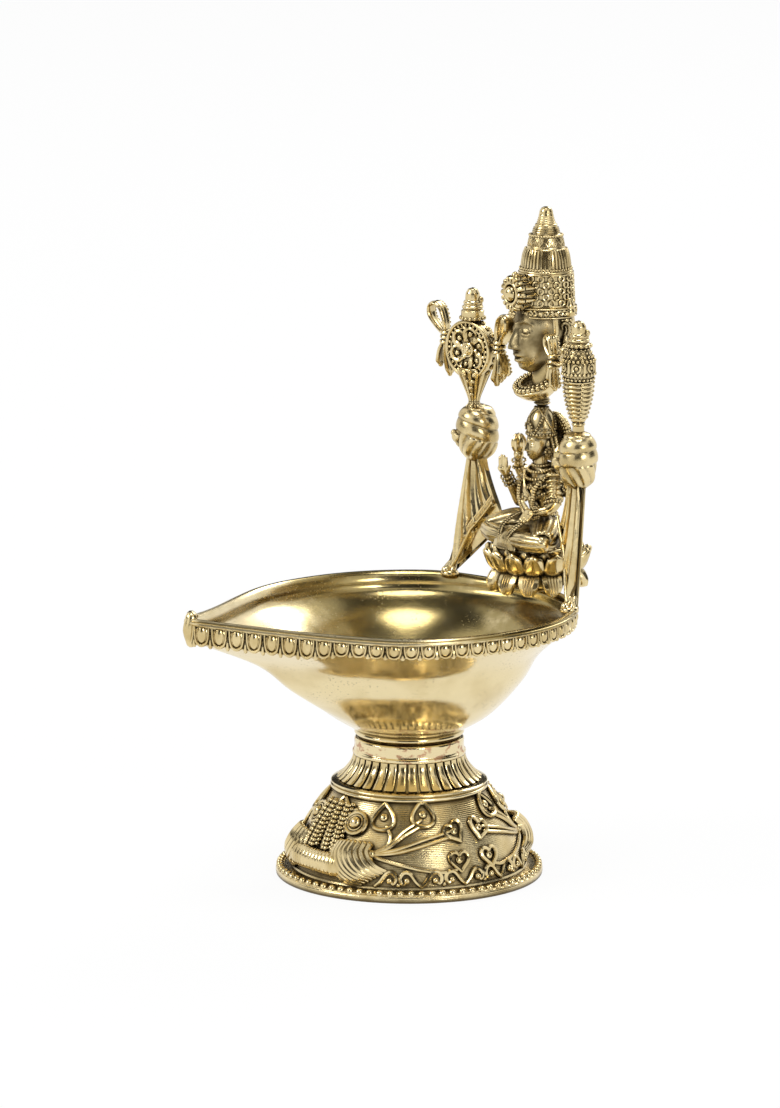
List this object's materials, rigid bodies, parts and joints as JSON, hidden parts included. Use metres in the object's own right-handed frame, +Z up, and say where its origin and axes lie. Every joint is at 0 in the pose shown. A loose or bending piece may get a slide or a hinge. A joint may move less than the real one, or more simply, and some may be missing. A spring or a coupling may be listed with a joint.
{
  "type": "diya oil lamp",
  "caption": "Cast brass oil lamp: domed relief pedestal, teardrop bowl with a pouring spout for a wick, and a back ornament of lotus, seated figure, drapes, emblems and crowned head.",
  "frame": {"origin": "middle of the lamp's footprint box, on the surface that the foot stands on", "axes": "+Z up, the spout points along -Y, and +X is the seated figure's left-hand side"},
  "size_m": [0.0886, 0.1224, 0.1729],
  "materials": {
    "polished_brass": "polished, light pits",
    "cast_brass": "antique: polished high spots, dark brown recesses",
    "aged_brass": "dark aged cast",
    "solder": "coppery brazing seam"
  },
  "bodies": {
    "root": {"pedestal_dome": "cast_brass", "foot_bead_ring": "cast_brass", "step_disc": "polished_brass", "fluted_neck": "cast_brass", "neck_collar": "polished_brass", "solder_seam": "solder", "bowl_foot_ring": "cast_brass", "bowl": "polished_brass", "rim_egg_strip": "cast_brass", "lotus_foot": "cast_brass", "lotus_lower_petals": "cast_brass", "lotus_upper_petals": "cast_brass", "goddess_lap": "cast_brass", "goddess_torso": "cast_brass", "goddess_head": "cast_brass", "goddess_crown": "cast_brass", "goddess_halo": "cast_brass", "goddess_front_arm_right": "cast_brass", "goddess_rear_arm_right": "cast_brass", "lotus_bud_right": "cast_brass", "goddess_front_arm_left": "cast_brass", "goddess_rear_arm_left": "cast_brass", "lotus_bud_left": "cast_brass", "fist_right": "cast_brass", "drape_right": "cast_brass", "foot_rivet_right": "polished_brass", "fist_left": "cast_brass", "drape_left": "cast_brass", "foot_rivet_left": "polished_brass", "discus_plate": "cast_brass", "discus_back": "aged_brass", "discus_hub": "polished_brass", "discus_stem": "cast_brass", "discus_finial": "cast_brass", "discus_ribbon_outer": "cast_brass", "discus_ribbon_inner": "cast_brass", "conch_stem": "cast_brass", "conch_whorls": "cast_brass", "conch_body": "cast_brass", "conch_finial": "cast_brass", "conch_ribbon_inner": "cast_brass", "head_peg": "aged_brass", "neck_dish": "cast_brass", "head": "polished_brass", "necklace": "cast_brass", "earring_right": "cast_brass", "earring_left": "cast_brass", "headband": "cast_brass", "crown_lattice": "cast_brass", "crown_medallion": "cast_brass", "crown_cone": "cast_brass"}
  },
  "joints": []
}
